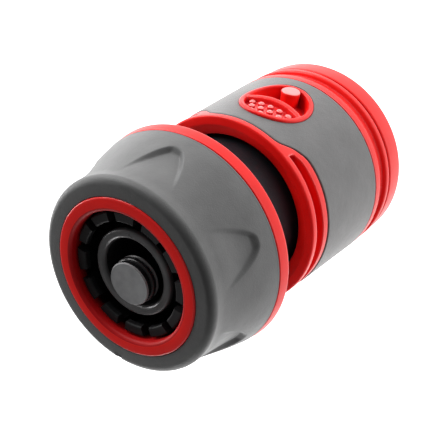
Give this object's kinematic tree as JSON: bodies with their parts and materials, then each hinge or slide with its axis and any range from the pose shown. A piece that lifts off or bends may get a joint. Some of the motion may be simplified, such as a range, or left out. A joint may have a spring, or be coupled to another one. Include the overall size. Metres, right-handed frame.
{
  "type": "garden hose quick connector",
  "caption": "Plastic quick connector for a garden hose: clamp nut with collet at one end, sprung release sleeve with locking pawls at the other, water-stop plunger inside.",
  "frame": {"origin": "on the axis, in the plane of the quick-connect mouth, on which the connector stands", "axes": "+Z along the axis towards the hose end, +X through the middle of one oval window of the sleeve, +Y through the middle of one crescent finger slot"},
  "size_m": [0.0362, 0.0362, 0.0545],
  "materials": {
    "black_plastic": "moulded, satin",
    "dark_plastic": "moulded, satin",
    "red_plastic": "moulded, glossy",
    "grey_grip": "soft touch, matte",
    "dark_grip": "soft touch, matte",
    "seal_rubber": "moulded rubber, glossy when wet",
    "cap_plastic": "moulded, matte",
    "white_plastic": "moulded acetal, satin",
    "spring_steel": "stainless wire"
  },
  "bodies": {
    "barrel": {"barrel": "black_plastic", "retaining_ring": "black_plastic", "spigot": "dark_plastic", "spigot_seal": "seal_rubber", "plunger_guide": "dark_plastic", "sleeve_spring": "spring_steel", "valve_spring": "spring_steel"},
    "sleeve": {"sleeve_shell": "red_plastic", "sleeve_grip": "grey_grip"},
    "plunger": {"plunger": "black_plastic", "plunger_seal": "seal_rubber", "plunger_foot": "black_plastic", "valve_cap": "cap_plastic", "cap_ring": "seal_rubber"},
    "collet": {"clamp_collet": "dark_plastic"},
    "nut": {"nut_shell": "red_plastic", "nut_grip": "dark_grip"},
    "pawl_1": {"pawl_1": "white_plastic"},
    "pawl_2": {"pawl_2": "white_plastic"},
    "pawl_3": {"pawl_3": "white_plastic"},
    "pawl_4": {"pawl_4": "white_plastic"}
  },
  "joints": [
    {"name": "sleeve_slide", "type": "slide", "parent": "barrel", "child": "sleeve", "axis": [0, 0, 1], "range_m": [0, 0.005], "stiffness_N_per_m": 900, "springref_m": -0.004, "deforming": ["sleeve_spring"]},
    {"name": "valve_slide", "type": "slide", "parent": "barrel", "child": "plunger", "axis": [0, 0, 1], "range_m": [0, 0.004], "stiffness_N_per_m": 400, "springref_m": -0.004, "deforming": ["valve_spring"]},
    {"name": "nut_turn", "type": "hinge", "parent": "collet", "child": "nut", "pos_m": [0, 0, 0.047], "axis": [0, 0, 1], "range_deg": [0, 540]},
    {"name": "collet_slide", "type": "slide", "parent": "barrel", "child": "collet", "axis": [0, 0, 1], "range_m": [0, 0.0045]},
    {"name": "pawl_1_slide", "type": "slide", "parent": "barrel", "child": "pawl_1", "axis": [1, 0, 0], "range_m": [0, 0.0012]},
    {"name": "pawl_2_slide", "type": "slide", "parent": "barrel", "child": "pawl_2", "axis": [0, 1, 0], "range_m": [0, 0.0012]},
    {"name": "pawl_3_slide", "type": "slide", "parent": "barrel", "child": "pawl_3", "axis": [-1, 0, 0], "range_m": [0, 0.0012]},
    {"name": "pawl_4_slide", "type": "slide", "parent": "barrel", "child": "pawl_4", "axis": [0, -1, 0], "range_m": [0, 0.0012]}
  ],
  "couplings": [
    {"joint": "nut_turn", "follows": "collet_slide", "rad_per_m": 2094.4},
    {"joint": "pawl_1_slide", "follows": "sleeve_slide", "ratio": 0.24},
    {"joint": "pawl_2_slide", "follows": "sleeve_slide", "ratio": 0.24},
    {"joint": "pawl_3_slide", "follows": "sleeve_slide", "ratio": 0.24},
    {"joint": "pawl_4_slide", "follows": "sleeve_slide", "ratio": 0.24}
  ]
}
